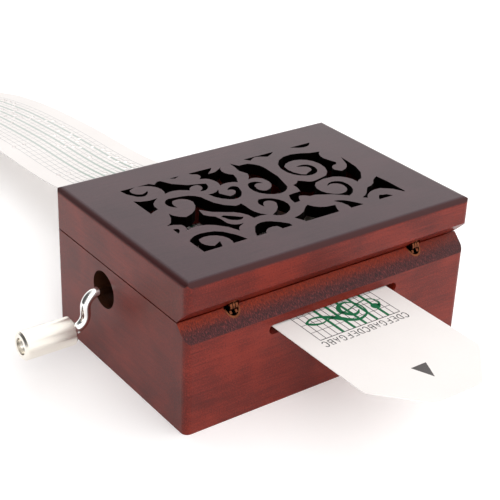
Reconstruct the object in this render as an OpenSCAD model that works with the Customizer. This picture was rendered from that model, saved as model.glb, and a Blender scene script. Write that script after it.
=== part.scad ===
// Hand-cranked music box: a wooden case with a pierced lid, a bent-wire crank and a punched card
// strip. Millimetres, +Z up. The origin is the centre of the case's underside. X runs along the
// case, the hinges and the strip's front slot are on the -Y side, and the crank is at the -X end.

/* [Case] */
// Length of the case along X
case_l = 100; // [84:1:140]
// Width of the case along Y
case_w = 70; // [66:1:110]
// Height of the case body below the lid
body_h = 33.1; // [32:0.1:45]
// Height of the lid
lid_h = 13; // [9:0.1:24]
// Gap between the body and the closed lid
seam_gap = 0.4; // [0.2:0.1:1]
// Thickness of the walls and of the lid's rails
wall_t = 8; // [7.8:0.1:10]
// Thickness of the base panel
base_t = 4; // [2.5:0.1:6]
// Thickness of the lid's pierced top panel
panel_t = 3.5; // [2.2:0.1:6]
// Depth of each 45 degree bevel along the hinge line
notch = 4.7; // [3.6:0.1:5.4]
// Diameter of the hinge barrels
hinge_d = 5; // [3.6:0.1:5.2]
// Distance of each hinge from the case's middle
hinge_x = 32.7; // [20:0.1:38]
// Radius of the rounding along the lid's top edges
edge_r = 1.9; // [0.5:0.1:2.1]
// Radius of the case's upright corners
corner_r = 2; // [0.5:0.1:3]

/* [Scrollwork] */
// Length of the pierced field
field_l = 72; // [60:1:76]
// Width of the pierced field
field_w = 44; // [38:1:48]
// Half the width below which the tips of the cuts are blunted
tip_soft = 0.12; // [0.05:0.01:0.3]
// Most that a curved side of an opening turns between two of its points, in degrees
arc_step = 22; // [12:1:40]

/* [Strip] */
// Width of the card strip
strip_w = 41; // [34:0.5:50]
// Thickness of the card strip
strip_t = 0.3; // [0.2:0.05:0.5]
// Height of the strip's middle plane inside the case
strip_z = 25.3; // [24:0.1:27]
// Sideways place of the strip's centre line
strip_x = -1.2; // [-3:0.1:1]
// Length of the tongue in front of the case
tongue_l = 51; // [30:1:80]
// Height of the two slots
slot_h = 3; // [2:0.1:4]
// Clearance beside the strip in the slots
slot_side = 1.3; // [0.5:0.1:3]
// Clearance above the strip in the slots
slot_over = 0.5; // [0.3:0.1:1]

/* [Crank] */
// Diameter of the crank wire
wire_d = 3; // [2.4:0.1:3.6]
// Centre line radius of the two bends in the wire
bend_r = 4; // [3.4:0.1:4.8]
// Distance between the crank axis and the handle axis
arm_l = 10; // [9.6:0.1:12]
// Distance from the case's end face to the middle of the arm
arm_out = 6; // [5.6:0.1:10]
// Crank axis, distance from the case's middle along Y
crank_y = 7.5; // [4:0.1:10]
// Crank axis, distance below the strip's middle plane
crank_drop = 0.3; // [0:0.1:2]
// Diameter of the hole in the wall that the crank passes through
crank_hole_d = 11.4; // [8:0.1:13]
// Diameter of the handle
handle_d = 8.5; // [7:0.1:11]
// Length of the handle
handle_l = 16; // [10:0.5:24]

/* [Movement] */
// Number of notes, each with a star wheel and a comb tooth
notes = 15; // [15]
// Distance between neighbouring notes
note_pitch = 2; // [1.9:0.05:2.2]
// Outer radius of the star wheels
star_r = 5; // [4.2:0.1:5.6]
// Radius of the star-wheel shaft
star_shaft_r = 1; // [0.8:0.1:1.2]
// Distance of the star-wheel shaft from the case's middle along Y
star_y = 12; // [11:0.1:14]
// Outer radius of the feed sleeves
feed_r = 4.5; // [3.8:0.1:5]
// Radius of the feed shaft's journals
feed_shaft_r = 1.5; // [1.2:0.1:1.8]
// Outer radius of the pressure sleeves
press_r = 3; // [2.4:0.1:3.4]
// Thickness of the side plates
cheek_t = 1.6; // [1.2:0.1:2]
// Thickness of the comb
comb_t = 1; // [0.8:0.1:1.2]
// Gear module
gear_m = 0.6; // [0.5:0.05:0.7]
// Teeth on the feed gear
feed_teeth = 30; // [28:1:34]
// Teeth on the crank pinion
pinion_teeth = 12; // [11:1:14]

/* [Fits] */
// Radial clearance of a shaft that turns in its bore
run_gap = 0.05; // [0.02:0.01:0.1]
// Radial clearance of pieces that are pressed or screwed together
fit_gap = 0.02; // [0.01:0.01:0.04]
// Gap between the rollers and the strip
nip_gap = 0.05; // [0.02:0.01:0.2]
// Gap between the star wheels and the strip or the comb
star_gap = 0.3; // [0.2:0.05:0.6]

/* [Hidden] */

$fn = 48;
eps = 0.01;

// Case planes
seam_z = body_h + seam_gap / 2;
lid_z = body_h + seam_gap;
top_z = lid_z + lid_h;
in_x = case_l / 2 - wall_t;
in_y = case_w / 2 - wall_t;
panel_gap = 0.1;

// Slots: wide enough for the strip on its own side of the middle
slot_w = strip_w + 2 * (abs(strip_x) + slot_side);
slot_top = strip_z + strip_t / 2 + slot_over;

// Hinges: their shared axis is the apex of the notch
hinge_y = -case_w / 2 + notch;
hinge_r = hinge_d / 2;
hinge_deep = 8;
knuckle_r = 1.5;
knuckle_mid = 0.6;
knuckle_side = 0.7;
knuckle_gap = 0.25;
barrel_wall = 0.45;
hinge_pocket = 4;
hinge_pin_r = 0.6;

// Crank
wire_r = wire_d / 2;
crank_z = strip_z - crank_drop;
handle_z = crank_z - arm_l;
arm_x = -case_l / 2 - arm_out;
handle_x = arm_x - bend_r - 0.5;
rivet_r = wire_r + 0.8;
rivet_t = 1;
rivet_bore_r = rivet_r + 0.2;
rivet_deep = 2.6;
handle_chamfer = 0.6;

// Movement
cheek_in = strip_w / 2 + 1.3;
left_in = strip_x - cheek_in;
right_in = strip_x + cheek_in;
left_out = left_in - cheek_t;
right_out = right_in + cheek_t;
move_y = in_y - 2;
bed_t = 5;
bed_top = base_t + bed_t;
cheek_top = strip_z + 7.7;
screw_r = 1;
head_r = 1.8;
head_t = 1;

// Star wheels and comb
star_teeth = 8;
star_t = 0.6 * note_pitch;
star_root = 0.6 * star_r;
star_z = strip_z - strip_t / 2 - star_gap - star_r;
comb_top = star_z - star_r - star_gap;
comb_back = -move_y + 1;
comb_w = notes * note_pitch;
comb_root = comb_back + 15;
comb_slant = 8;
tooth_w = 0.72 * note_pitch;
comb_pad_y = comb_back + 11;
comb_screw_x = 11;
comb_screw_y = comb_back + 5.5;

// Rollers and gears
feed_z = strip_z - strip_t / 2 - nip_gap - feed_r;
press_z = strip_z + strip_t / 2 + nip_gap + press_r;
gear_reach = gear_m * (feed_teeth + pinion_teeth) / 2;
feed_y = crank_y - sqrt(pow(gear_reach, 2) - pow(crank_z - feed_z, 2));
gear_turn = atan2(crank_z - feed_z, crank_y - feed_y);
pressure_angle = 25;
addendum = 0.8;
dedendum = 1.05;
backlash = 0.08;
gear_t = 2.5;
gear_x = left_out - 6.2 - gear_t / 2;
pinion_t = 3.1;
feed_core_r = feed_r - 1;
press_core_r = press_r - 0.8;
press_shaft_r = 1.2;
sleeve_l = 5;
sleeve_in = 0.6;
journal_r = wire_r + 0.6;
hub_r = wire_r + 1.5;
bush_r = journal_r + 1.1;
thread_l = 5;
wire_in_x = gear_x - pinion_t / 2 - 0.4;

// Pressure springs
spring_t = 0.4;
spring_w = 3.4;
spring_y = feed_y - 9;
spring_z = press_z + press_shaft_r + run_gap + 1.2;

// Guide plates
guide_t = 1;
guide_gap = 0.35;
flange_h = 4.5;
table_top = strip_z - strip_t / 2 - guide_gap;
cover_low = strip_z + strip_t / 2 + guide_gap;
window_x = strip_w / 2;
feed_window = feed_r + 0.8;
star_window = star_r + 0.6;
cover_y0 = star_y - 7;
cover_y1 = star_y + 8;

// Tail of the strip behind the case: distance from the case, share of the strip's height, slope
tail = [[5, 1, 0], [54, 0.7, -0.006], [100, 0.58, -0.0025], [130, 0.48, -0.004],
    [165, 0.27, -0.0075], [200, 0, 0]];
tail_steps = 7;
tip_w = 16;
tip_l = 13.5;
tip_round = 4;

walnut = [0.36, 0.16, 0.13];
top_brown = [0.30, 0.24, 0.25];
brass = [0.72, 0.55, 0.28];
chrome = [0.85, 0.85, 0.86];
nickel = [0.80, 0.78, 0.74];
zinc = [0.62, 0.62, 0.64];
steel = [0.70, 0.71, 0.73];
rubber = [0.15, 0.15, 0.16];
card = [0.97, 0.95, 0.93];

// ---------- helpers ----------

// Plan outline of the case with rounded upright corners
module plan() {
    offset(r = corner_r, $fn = 24) square([case_l - 2 * corner_r, case_w - 2 * corner_r], center = true);
}

// Box from one corner to the opposite one
module block(a, b) {
    translate(a) cube(b - a);
}

// Cylinder along X from x0 to x1 at the given y and z
module rod_x(x0, x1, y, z, r) {
    translate([x0, y, z]) rotate([0, 90, 0]) cylinder(h = x1 - x0, r = r);
}

// Flat shape drawn in Y and Z, extruded along X from x0 to x1
module slab_x(x0, x1) {
    translate([x0, 0, 0]) rotate([90, 0, 90]) linear_extrude(x1 - x0) children();
}

// Corner posts of the case body or the lid, rounded to the plan
module rounded(z0, z1) {
    intersection() {
        children();
        translate([0, 0, z0 - 1]) linear_extrude(z1 - z0 + 2) plan();
    }
}

// Wedge that bevels the top of the body along the hinge line
module body_notch() {
    reach = notch + 1;
    slab_x(-case_l / 2 - 1, case_l / 2 + 1)
        polygon([[hinge_y, body_h], [hinge_y - reach, body_h - reach],
            [hinge_y - reach, body_h + 1], [hinge_y, body_h + 1]]);
}

// Wedge that bevels the underside of the lid along the hinge line
module lid_notch() {
    reach = notch + 1;
    slab_x(-case_l / 2 - 1, case_l / 2 + 1)
        polygon([[hinge_y, lid_z], [hinge_y - reach, lid_z + reach],
            [hinge_y - reach, lid_z - 1], [hinge_y, lid_z - 1]]);
}

// Round-ended slot for the strip through a long wall
module strip_slot(y) {
    r = slot_h / 2;
    z = slot_top - r;
    block([-slot_w / 2 + r, y - wall_t, z - r], [slot_w / 2 - r, y + wall_t, z + r]);
    for (s = [-1, 1])
        translate([s * (slot_w / 2 - r), y + wall_t, z]) rotate([90, 0, 0])
            cylinder(h = 2 * wall_t, r = r);
}

// Bores for the two hinge barrels, one way or the other from a plane
module hinge_bores(z) {
    for (s = [-1, 1])
        translate([s * hinge_x, hinge_y, z]) cylinder(h = hinge_deep + 1, r = hinge_r + fit_gap);
}

// ---------- case body ----------

module base_panel() {
    color(walnut)
        difference() {
            block([-in_x + panel_gap, -in_y + panel_gap, 0], [in_x - panel_gap, in_y - panel_gap, base_t]);
            mount_places() {
                translate([0, 0, -1]) cylinder(h = base_t + 2, r = 1.5 + fit_gap);
                translate([0, 0, -eps]) cylinder(h = 1.2 + 2 * eps, r = 3);
            }
        }
}

module hinge_wall() {
    color(walnut)
        difference() {
            rounded(0, body_h)
                block([-case_l / 2, -case_w / 2, 0], [case_l / 2, -in_y, body_h]);
            body_notch();
            strip_slot(-case_w / 2 + wall_t / 2);
            hinge_bores(body_h - hinge_deep);
        }
}

module lift_wall() {
    color(walnut)
        difference() {
            rounded(0, body_h)
                block([-case_l / 2, in_y, 0], [case_l / 2, case_w / 2, body_h]);
            strip_slot(case_w / 2 - wall_t / 2);
        }
}

module crank_wall() {
    color(walnut)
        difference() {
            block([-case_l / 2, -in_y, 0], [-in_x, in_y, body_h]);
            rod_x(-case_l / 2 - 1, -in_x + 1, crank_y, crank_z, crank_hole_d / 2);
        }
}

module far_wall() {
    color(walnut) block([in_x, -in_y, 0], [case_l / 2, in_y, body_h]);
}

// ---------- scrollwork ----------

function unit(a) = [cos(a), sin(a)];

// Arc from a to b that bulges by s to the right of the way there, without its last point
function bow(a, b, s) =
    let (c = norm(b - a), u = (b - a) / c, aside = [u[1], -u[0]])
    let (turn = 4 * atan(2 * abs(s) / c), n = max(2, ceil(turn / arc_step)))
    let (r = (c * c / 4 + s * s) / (2 * abs(s)))
    [for (k = [0:n - 1]) let (w = turn * (k / n - 1 / 2))
        (a + b) / 2 + aside * sign(s) * (abs(s) - r + r * cos(w)) + u * r * sin(w)];

// One opening. Each row is a corner, as x and y, and how far the side that starts there bulges
module cut(rows) {
    n = len(rows);
    polygon([for (k = [0:n - 1])
        let (a = [rows[k][0], rows[k][1]], b = [rows[(k + 1) % n][0], rows[(k + 1) % n][1]])
        each (rows[k][2] == 0 ? [a] : bow(a, b, rows[k][2]))]);
}

// Openings of the pierced field, drawn on a field of 72 by 44
module cuts() {
    // top left volute and the field beside it
    cut([[-35.8, 22.6, 0.6], [-33.5, 16.2, 0.2], [-31.3, 15.4, 0.4], [-28.8, 18.1, -0.1],
        [-31.2, 16.9, -1.3], [-33, 21.1, -4.2], [-25.6, 13.6, -1], [-19.2, 12.7, 0], [-18.1, 11.9, -1],
        [-14.2, 13.8, -0.6], [-14.5, 10.9, 0], [-15.9, 9.8, 0.1], [-14.1, 9.6, 0.7], [-11.5, 13.4, 0],
        [-12.5, 13.9, -1.9], [-22.4, 22.6, 0], [-24.9, 20.6, 0], [-26.4, 22.6, 0]]);
    // left edge
    cut([[-36.6, 14.6, 0], [-36.6, 4.3, -0.1], [-32.7, 6.2, -0.8], [-30.6, 11.2, 0], [-29, 12.4, -1.1]]);
    // top edge, left
    cut([[-19.2, 22.6, 0.2], [-17.3, 21.1, 0.1], [-14.7, 22.6, 0]]);
    // top middle
    cut([[-12.1, 22.6, 0.2], [-11.3, 20.9, -1], [-10.4, 17.9, 0], [-11.4, 16.9, -0.3],
        [-8.9, 15.6, -0.7], [-8.6, 10.1, -0.9], [-2.8, 9.3, 0.3], [-0.8, 14.4, -1.6], [-1, 20.9, 0],
        [-3.4, 19.4, -0.4], [-7, 18.9, 0.2], [-3.1, 22.6, 0]]);
    // middle volute and the tall leaf above it
    cut([[2.9, 21.6, -0.2], [2.2, 15.8, 0], [3.3, 12.8, -0.3], [0.9, 9.2, -1.3], [5.2, 6.5, -1.7],
        [1.1, 0.2, -0.9], [-0.4, 3.5, -1.4], [3.2, 4.8, 1.6], [-1.4, 6.3, 3.2], [3.6, -3.6, 0.6],
        [8, -0.8, 0.8], [10.3, 13.9, 0.6], [7.6, 18.8, 0.1], [4.4, 18.9, 0]]);
    // top edge, middle
    cut([[8, 22.6, 0], [9.7, 20.2, 0], [11.3, 21.2, -0.4], [13.9, 21.2, 0], [16.1, 19.9, 0.2],
        [20.7, 22.6, 0]]);
    // top edge, right
    cut([[25.6, 22.6, 0], [28.5, 20.6, 1.6], [34.6, 22.6, 0]]);
    // the two right volutes and the leaves round them
    cut([[32.6, 14.7, -0.4], [26.4, 16.8, 4.7], [14.1, 7.4, 0.9], [17.9, 2.2, 3.1], [23, 8.7, 0.5],
        [18.9, 9.1, 0], [20.5, 8.3, -1.4], [21.1, 4.5, 0.1], [18.2, 3.1, -0.1], [16.9, 4, -0.9],
        [15.9, 11.1, -2.9], [26.1, 9.9, -1.9], [22.9, -0.6, -0.1], [17.2, -1.9, -0.4], [14.7, -0.5, 0.1],
        [13, 0.8, -0.4], [10.1, -0.9, -0.3], [9.2, -5.5, 0.1], [4.7, -5.8, 0.4], [3, -10.8, 0],
        [5.1, -10.7, -0.2], [6.9, -7.8, -0.4], [9.5, -9.6, -0.1], [11.7, -9.8, -0.5], [19.8, -15.4, 2],
        [24.2, -6.8, 1.8], [18.3, -7, -2], [22.8, -9.6, -2.1], [16.6, -12.1, -2.3], [16.9, -3.1, -0.6],
        [24.1, -2.5, -1.4], [28.1, -9.2, -0.2], [30.8, -7.8, 0.7], [34.9, -0.3, 0.1], [35.7, 7.7, 0],
        [34.3, 4.3, -1.1], [29.2, -0.5, -0.1], [27.8, 1.4, -1], [31, 4.3, 0], [31.8, 5.5, 0],
        [31, 7.8, -1.3]]);
    // bottom right corner
    cut([[35.6, -9.1, 0.1], [32.9, -10.8, -0.7], [28, -13.8, 0.1], [25.5, -16.4, -0.2], [22.2, -18.4, 0],
        [23.3, -19.4, -1.3], [30.9, -16.2, -0.7], [35.6, -21.8, 0], [36.5, -21.4, 0.1]]);
    // bottom edge, right
    cut([[25.2, -22.6, 0], [31.3, -22.6, 0], [29.7, -20.4, -0.2], [27.6, -19.6, 0.2]]);
    // leaf to its left
    cut([[13.3, -15.8, -1], [14.8, -22.6, 0], [19.8, -22.6, 0.1], [17.2, -18.1, 0.6]]);
    // bottom edge, middle
    cut([[5.3, -13.8, 0.1], [3.4, -15.1, -0.7], [-3, -18.4, 0], [-1.2, -22.6, 0], [10.2, -22.6, -0.2],
        [12.1, -18.1, 0], [11, -17.9, -1.2]]);
    // arch
    cut([[-18.9, -22.6, 0], [-15.6, -22.6, -1.5], [-10.3, -20.1, -0.1], [-9.8, -22.6, 0],
        [-6.4, -22.6, 0], [-6.4, -20.6, 0.2], [-9.9, -16.8, 1.1], [-15.8, -17.1, 0.3]]);
    // lower left volute
    cut([[-36.6, -22.6, 0], [-30.3, -22.6, 0], [-28.9, -19.1, 0], [-31.7, -20.6, -1.3],
        [-33.2, -15.3, -3.7], [-26.7, -22.6, 0], [-21.6, -22.6, 0.5], [-25.1, -14.9, 0.4],
        [-28.9, -12.9, 1.4], [-36.6, -15.7, 0]]);
    // left edge, small
    cut([[-36.6, -7.2, 0], [-36.6, -9.8, 0.5], [-34.5, -7.2, 0.5]]);
    // left volute and the long diagonal
    cut([[-31.7, 2.1, -0.3], [-34.2, -2.9, -0.2], [-36.6, -4, -0.4], [-32.5, -5.5, -0.7],
        [-33.3, -9.3, -1.4], [-24.7, -10.4, -0.6], [-20.7, -16.9, -0.5], [-18.1, -14.2, 0],
        [-16.3, -13.2, -1.8], [-21.1, -10.1, 0.2], [-21.6, -6.2, -0.2], [-23.8, -3.6, -0.1],
        [-23.1, -0.2, 0.6], [-17.4, -5.5, -1.3], [-12.8, -12.6, -0.4], [-8.3, -12.8, -0.7],
        [-10.5, -7.3, 0.1], [-10.5, -3, -0.2], [-12.7, -3.5, -1.1], [-17.6, 4.5, 1.3], [-22.2, 9.7, 0],
        [-26.6, 10.4, 2.2], [-27.4, 4.2, -0.6], [-26.5, 8.4, -1.7], [-21.6, 5, -1.5],
        [-28.6, -2.1, -0.7]]);
    // eye of the leaf
    cut([[-20.4, -7.3, -0.2], [-19.5, -9.3, 0.2], [-18.2, -10.8, 0.9], [-14.9, -10.3, 0],
        [-15.4, -10.2, 0.1], [-19.3, -6.7, 0]]);
    // small volute in the middle
    cut([[-15.1, 6.8, 0.7], [-11.7, 0.9, 0.9], [-7.1, 1.4, 0.4], [-4.9, 5.7, 0.9], [-6.7, 7.8, 0.3],
        [-8.7, 6.2, -1], [-7.2, 4.2, -0.5], [-10.3, 2.6, -0.1], [-12, 5.8, 0], [-10.7, 8.1, -0.6]]);
    // lower middle volute
    cut([[-7.1, -13.7, 1], [-2.7, -14.8, 4.7], [-4.6, -3.5, 1], [-5.9, -8.3, -0.3], [-4.3, -5.7, -1.2],
        [-1.6, -8.2, -0.8]]);
}

// The same cuts as one outline, scaled to the field and softened at their tips
module pierced_field() {
    offset(delta = tip_soft) offset(delta = -tip_soft)
        intersection() {
            square([field_l, field_w], center = true);
            scale([field_l / 72, field_w / 44]) cuts();
        }
}

// What a rounded edge takes off: the lid's top edge at distance y from the middle
module edge_cutter(length, y) {
    difference() {
        block([-length / 2, y - edge_r, top_z - edge_r], [length / 2, y + 1, top_z + 1]);
        rod_x(-length / 2 - 1, length / 2 + 1, y - edge_r, top_z - edge_r, edge_r);
    }
}

module lid_panel() {
    color(top_brown)
        difference() {
            translate([0, 0, top_z - panel_t]) linear_extrude(panel_t)
                difference() {
                    plan();
                    pierced_field();
                }
            for (a = [0, 180]) {
                rotate([0, 0, a]) edge_cutter(case_l + 2, case_w / 2);
                rotate([0, 0, a + 90]) edge_cutter(case_w + 2, case_l / 2);
            }
        }
}

// ---------- lid rails ----------

module lid_hinge_rail() {
    color(walnut)
        difference() {
            rounded(lid_z, top_z - panel_t)
                block([-case_l / 2, -case_w / 2, lid_z], [case_l / 2, -in_y, top_z - panel_t]);
            lid_notch();
            hinge_bores(lid_z - 1);
        }
}

module lid_lift_rail() {
    color(walnut)
        rounded(lid_z, top_z - panel_t)
            block([-case_l / 2, in_y, lid_z], [case_l / 2, case_w / 2, top_z - panel_t]);
}

module lid_crank_rail() {
    color(walnut) block([-case_l / 2, -in_y, lid_z], [-in_x, in_y, top_z - panel_t]);
}

module lid_far_rail() {
    color(walnut) block([in_x, -in_y, lid_z], [case_l / 2, in_y, top_z - panel_t]);
}

// ---------- barrel hinges ----------

// Discs round the hinge axis: one pair on the lower barrel, one between them on the upper
module side_knuckles(x, r, gap) {
    a = knuckle_mid / 2 + knuckle_gap - gap;
    b = knuckle_mid / 2 + knuckle_gap + knuckle_side + gap;
    rod_x(x - b, x - a, hinge_y, seam_z, r);
    rod_x(x + a, x + b, hinge_y, seam_z, r);
}

module mid_knuckle(x, r, gap) {
    rod_x(x - knuckle_mid / 2 - gap, x + knuckle_mid / 2 + gap, hinge_y, seam_z, r);
}

// Upright plates below each disc, from height z0 to z1
module side_plates(x, z0, z1) {
    a = knuckle_mid / 2 + knuckle_gap;
    for (s = [-1, 1])
        translate([x + s * (a + knuckle_side / 2), hinge_y, z0])
            translate([-knuckle_side / 2, -knuckle_r, 0])
                cube([knuckle_side, 2 * knuckle_r, z1 - z0]);
}

module mid_plate(x, z0, z1) {
    block([x - knuckle_mid / 2, hinge_y - knuckle_r, z0], [x + knuckle_mid / 2, hinge_y + knuckle_r, z1]);
}

// Barrel from z0 to z1 with a round pocket between p0 and p1
module barrel(x, z0, z1, p0, p1) {
    difference() {
        translate([x, hinge_y, z0]) cylinder(h = z1 - z0, r = hinge_r);
        translate([x, hinge_y, p0]) cylinder(h = p1 - p0, r = hinge_r - barrel_wall);
    }
}

module hinge_lower(x) {
    floor_z = body_h - hinge_pocket;
    color(brass)
        difference() {
            union() {
                difference() {
                    union() {
                        barrel(x, body_h - hinge_deep, body_h, floor_z, body_h + 1);
                        side_plates(x, floor_z - 0.5, body_h);
                    }
                    body_notch();
                    mid_knuckle(x, knuckle_r + 0.2, knuckle_gap);
                }
                side_knuckles(x, knuckle_r, 0);
            }
            rod_x(x - 4, x + 4, hinge_y, seam_z, hinge_pin_r + fit_gap);
        }
}

module hinge_upper(x) {
    roof_z = lid_z + hinge_pocket;
    color(brass)
        difference() {
            union() {
                difference() {
                    union() {
                        barrel(x, lid_z, lid_z + hinge_deep, lid_z - 1, roof_z);
                        mid_plate(x, lid_z, roof_z + 0.5);
                    }
                    lid_notch();
                    side_knuckles(x, knuckle_r + 0.2, knuckle_gap);
                }
                mid_knuckle(x, knuckle_r, 0);
            }
            rod_x(x - 4, x + 4, hinge_y, seam_z, hinge_pin_r + run_gap);
        }
}

module hinge_pin(x) {
    half = knuckle_mid / 2 + knuckle_gap + knuckle_side;
    color(steel) rod_x(x - half, x + half, hinge_y, seam_z, hinge_pin_r);
}

// ---------- crank ----------

module crank_wire() {
    end_x = handle_x - handle_l + rivet_deep;
    color(chrome) {
        rod_x(arm_x + bend_r, wire_in_x, crank_y, crank_z, wire_r);
        translate([arm_x + bend_r, crank_y, crank_z - bend_r]) rotate([90, 0, 0])
            rotate([0, 0, 90]) rotate_extrude(angle = 90) translate([bend_r, 0]) circle(r = wire_r);
        translate([arm_x, crank_y, handle_z + bend_r]) cylinder(h = arm_l - 2 * bend_r, r = wire_r);
        translate([arm_x - bend_r, crank_y, handle_z + bend_r]) rotate([90, 0, 0])
            rotate([0, 0, -90]) rotate_extrude(angle = 90) translate([bend_r, 0]) circle(r = wire_r);
        rod_x(end_x, arm_x - bend_r, crank_y, handle_z, wire_r);
    }
}

module crank_rivet() {
    end_x = handle_x - handle_l + rivet_deep;
    color(chrome) rod_x(end_x - rivet_t, end_x, crank_y, handle_z, rivet_r);
}

module crank_handle() {
    c = handle_chamfer;
    r = handle_d / 2;
    bore = wire_r + run_gap;
    deep = rivet_deep + 0.1;
    color(nickel)
        translate([handle_x, crank_y, handle_z]) rotate([0, -90, 0])
            rotate_extrude()
                polygon([[bore, 0], [r - c, 0], [r, c], [r, handle_l - c], [r - c, handle_l],
                    [rivet_bore_r, handle_l], [rivet_bore_r, handle_l - deep], [bore, handle_l - deep]]);
}

// ---------- gears ----------

// Half the angle of a tooth at radius r, for a gear with n teeth
function base_r(n) = gear_m * n / 2 * cos(pressure_angle);
function roll(a) = tan(a) - a * PI / 180;
function half_tooth(n, r) = (90 / n) - backlash / 4 / (gear_m * n / 2) * 180 / PI
    + (roll(pressure_angle) - roll(acos(min(1, base_r(n) / r)))) * 180 / PI;

// Outline of an involute gear with a tooth centred on angle 0
module gear_2d(n) {
    rp = gear_m * n / 2;
    root = rp - dedendum * gear_m;
    tip = rp + addendum * gear_m;
    foot = max(root, base_r(n));
    flank = [root, foot + 0.01, (foot + rp) / 2, rp, (rp + tip) / 2, tip];
    polygon([for (i = [0:n - 1]) each concat(
        [for (r = flank) r * unit(i * 360 / n - half_tooth(n, max(r, foot)))],
        [for (k = [len(flank) - 1:-1:0])
            flank[k] * unit(i * 360 / n + half_tooth(n, max(flank[k], foot)))])]);
}

module feed_gear() {
    hub = 3;
    color(brass)
        difference() {
            union() {
                slab_x(gear_x - gear_t / 2, gear_x + gear_t / 2)
                    translate([feed_y, feed_z])
                        rotate(gear_turn + 180 / feed_teeth) gear_2d(feed_teeth);
                rod_x(gear_x, left_out - 0.2, feed_y, feed_z, hub);
            }
            rod_x(gear_x - gear_t, left_out + 1, feed_y, feed_z, feed_shaft_r + fit_gap);
        }
}

module crank_pinion() {
    back = gear_x - pinion_t / 2;
    color(steel)
        difference() {
            union() {
                slab_x(back, back + pinion_t)
                    translate([crank_y, crank_z]) rotate(gear_turn + 180) gear_2d(pinion_teeth);
                rod_x(back - thread_l - 0.6, back + eps, crank_y, crank_z, hub_r);
                rod_x(back + pinion_t - eps, left_in, crank_y, crank_z, journal_r);
            }
            rod_x(back - thread_l - 1, wire_in_x + 0.2, crank_y, crank_z, wire_r + fit_gap);
        }
}

module crank_bush() {
    color(brass)
        difference() {
            union() {
                rod_x(left_out - 3, left_in, crank_y, crank_z, bush_r);
                rod_x(left_out - 1, left_out, crank_y, crank_z, bush_r + 1.2);
            }
            rod_x(left_out - 4, left_in + 1, crank_y, crank_z, journal_r + run_gap);
        }
}

// ---------- movement frame ----------

module mount_places() {
    for (sx = [-1, 1], sy = [-1, 1])
        translate([strip_x + sx * (strip_w / 2 - 6), sy * (move_y - 5), 0]) children();
}

module comb_places() {
    for (s = [-1, 0, 1])
        translate([strip_x + s * comb_screw_x, comb_screw_y, 0]) children();
}

// Places of the side-plate screws, in Y and Z: bed, strip table and cover plate
cheek_screw_yz = [[-move_y + 6, base_t + bed_t / 2], [move_y - 8, base_t + bed_t / 2],
    [-move_y + 3, table_top - 2.6], [move_y - 3, table_top - 2.6],
    [cover_y1 - 6.5, cover_low + 3], [cover_y1 - 2, cover_low + 3]];

module movement_base() {
    color(zinc)
        difference() {
            union() {
                block([left_in, -move_y, base_t], [right_in, move_y, bed_top]);
                block([strip_x - comb_w / 2 - 1, comb_back, bed_top - 1],
                    [strip_x + comb_w / 2 + 1, comb_pad_y, comb_top - comb_t]);
            }
            mount_places() translate([0, 0, base_t - 1]) cylinder(h = 4.5, r = 1.5 + fit_gap);
            comb_places() translate([0, 0, comb_top - comb_t - 3.6]) cylinder(h = 5, r = screw_r + fit_gap);
            for (p = [cheek_screw_yz[0], cheek_screw_yz[1]], s = [-1, 1])
                rod_x(strip_x + s * cheek_in - 3.2, strip_x + s * cheek_in + 3.2, p[0], p[1],
                    screw_r + fit_gap);
        }
}

// Outline of a side plate in Y and Z
module cheek_2d() {
    polygon([[-move_y, base_t], [move_y, base_t], [move_y, table_top + 0.2], [cover_y1 + 1, cheek_top - 1],
        [cover_y1, cheek_top], [feed_y - 6, cheek_top], [spring_y - 3, cheek_top - 2],
        [-move_y, table_top + 0.2]]);
}

module cheek_drillings(x0) {
    x1 = x0 + cheek_t;
    rod_x(x0 - 1, x1 + 1, feed_y, feed_z, feed_shaft_r + run_gap);
    rod_x(x0 - 1, x1 + 1, feed_y, press_z, press_shaft_r + run_gap);
    rod_x(x0 - 1, x1 + 1, star_y, star_z, star_shaft_r + fit_gap);
    for (p = cheek_screw_yz)
        rod_x(x0 - 1, x1 + 1, p[0], p[1], screw_r + fit_gap);
    rod_x(x0 - 1, x1 + 1, spring_y, spring_z - 3, screw_r + fit_gap);
}

module left_cheek() {
    color(zinc)
        difference() {
            slab_x(left_out, left_in) cheek_2d();
            cheek_drillings(left_out);
            rod_x(left_out - 1, left_in + 1, crank_y, crank_z, bush_r + fit_gap);
        }
}

module right_cheek() {
    color(zinc)
        difference() {
            slab_x(right_in, right_out) cheek_2d();
            cheek_drillings(right_in);
        }
}

// Screw along X with its head outside a side plate; side is -1 for left and 1 for right
module side_screw(side, y, z, length) {
    x = side < 0 ? left_out : right_out;
    translate([x, y, z]) rotate([0, 90 * side, 0])
        difference() {
            union() {
                translate([0, 0, -length]) cylinder(h = length, r = screw_r);
                cylinder(h = head_t, r = head_r);
            }
            translate([-0.25, -2 * head_r, head_t - 0.4]) cube([0.5, 4 * head_r, 1]);
        }
}

module cheek_screws() {
    color(steel)
        for (s = [-1, 1], i = [0:len(cheek_screw_yz) - 1])
            side_screw(s, cheek_screw_yz[i][0], cheek_screw_yz[i][1], i < 2 ? 4.4 : cheek_t + guide_t);
}

module mounting_screws() {
    color(steel)
        mount_places()
            difference() {
                union() {
                    translate([0, 0, 0.2]) cylinder(h = base_t + 3, r = 1.5);
                    translate([0, 0, 0.2]) cylinder(h = 1, r = 2.8);
                }
                translate([-0.4, -4, 0]) cube([0.8, 8, 0.6]);
            }
}

// ---------- comb and star wheels ----------

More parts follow.
